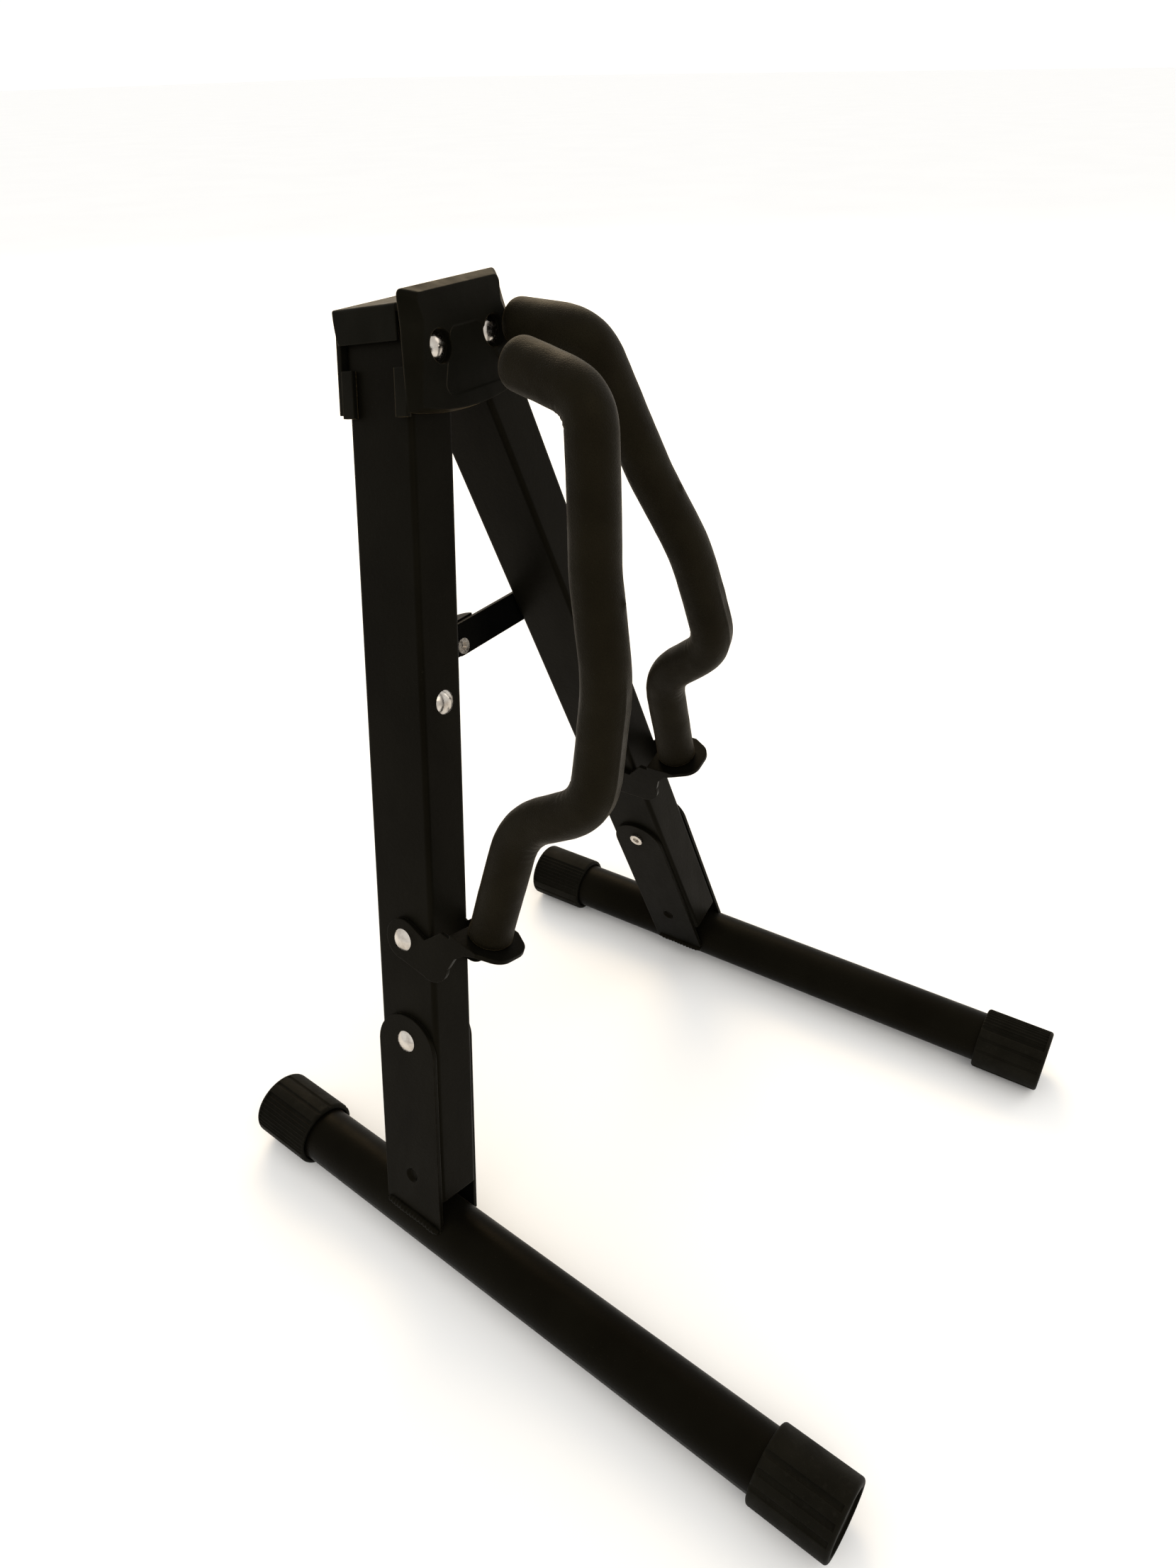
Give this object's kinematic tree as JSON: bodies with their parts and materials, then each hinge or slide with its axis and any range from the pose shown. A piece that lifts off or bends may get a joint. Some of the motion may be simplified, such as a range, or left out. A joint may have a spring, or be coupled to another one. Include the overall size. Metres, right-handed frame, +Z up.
{
  "type": "folding a-frame guitar stand",
  "caption": "Low folding A-frame stand with round rubber-capped feet, a moulded hinge head and foam-padded cradle arms that swing up to store.",
  "frame": {"origin": "centre of the bounding box, on the floor", "axes": "+X across the stand to its right as seen by someone sitting in front of it looking back at it, +Y to the rear, away from the arms, +Z up"},
  "size_m": [0.2746, 0.3013, 0.3725],
  "materials": {
    "powder_coat": "black satin powder coat",
    "link_steel": "black painted flat bar",
    "bright_metal": "bright nickel plate, lightly worn",
    "cap_rubber": "matte black moulded rubber",
    "foam": "matte black closed-cell foam with a fine skin",
    "head_plastic": "black moulded plastic with a fine grain"
  },
  "bodies": {
    "head": {"head_front_plate": "head_plastic", "head_shell": "head_plastic", "hinge_rivet_left": "bright_metal", "hinge_rivet_right": "bright_metal"},
    "leg_left": {"leg_left": "powder_coat", "leg_plug_top_left": "head_plastic", "leg_plug_foot_left": "head_plastic", "foot_tube_left": "powder_coat", "foot_cap_front_left": "cap_rubber", "foot_cap_rear_left": "cap_rubber", "foot_ear_outer_left": "powder_coat", "foot_ear_inner_left": "powder_coat", "foot_rivet_left": "bright_metal", "link_rivet_left": "bright_metal"},
    "arm_left": {"arm_bracket_left": "powder_coat", "arm_pivot_rivet_left": "bright_metal", "arm_rod_left": "powder_coat", "arm_foam_left": "foam"},
    "leg_right": {"leg_right": "powder_coat", "leg_plug_top_right": "head_plastic", "leg_plug_foot_right": "head_plastic", "foot_tube_right": "powder_coat", "foot_cap_front_right": "cap_rubber", "foot_cap_rear_right": "cap_rubber", "foot_ear_outer_right": "powder_coat", "foot_ear_inner_right": "powder_coat", "foot_rivet_right": "bright_metal", "link_rivet_right": "bright_metal", "link_spacer_right": "bright_metal"},
    "arm_right": {"arm_bracket_right": "powder_coat", "arm_pivot_rivet_right": "bright_metal", "arm_rod_right": "powder_coat", "arm_foam_right": "foam"},
    "link_left": {"spreader_link_left": "link_steel", "spreader_rivet_rear": "bright_metal"},
    "link_right": {"spreader_link_right": "link_steel", "spreader_rivet_front": "bright_metal"}
  },
  "joints": [
    {"name": "leg_left_fold", "type": "hinge", "parent": "head", "child": "leg_left", "pos_m": [-0.0144, 0.10633, 0.35028], "axis": [0, -0.9854, 0.1702], "range_deg": [0, 15.92]},
    {"name": "leg_right_fold", "type": "hinge", "parent": "head", "child": "leg_right", "pos_m": [0.0144, 0.10633, 0.35028], "axis": [0, 0.9854, -0.1702], "range_deg": [0, 15.92]},
    {"name": "link_left_fold", "type": "hinge", "parent": "leg_left", "child": "link_left", "pos_m": [-0.04718, 0.08602, 0.23273], "axis": [0, -0.9854, 0.1702], "range_deg": [0, 57.9]},
    {"name": "link_right_fold", "type": "hinge", "parent": "leg_right", "child": "link_right", "pos_m": [0.04718, 0.08602, 0.23273], "axis": [0, 0.9854, -0.1702], "range_deg": [0, 57.9]},
    {"name": "arm_left_swing", "type": "hinge", "parent": "leg_left", "child": "arm_left", "pos_m": [-0.0745, 0.06928, 0.14286], "axis": [0.9616, -0.0467, -0.2703], "range_deg": [-9.5, 71.7]},
    {"name": "arm_right_swing", "type": "hinge", "parent": "leg_right", "child": "arm_right", "pos_m": [0.0745, 0.06928, 0.14286], "axis": [0.9616, 0.0467, 0.2703], "range_deg": [0, 81.2]}
  ],
  "couplings": [
    {"joint": "leg_right_fold", "follows": "leg_left_fold", "ratio": 1},
    {"joint": "link_left_fold", "follows": "leg_left_fold", "ratio": 3.6326},
    {"joint": "link_right_fold", "follows": "leg_left_fold", "ratio": 3.6326}
  ]
}
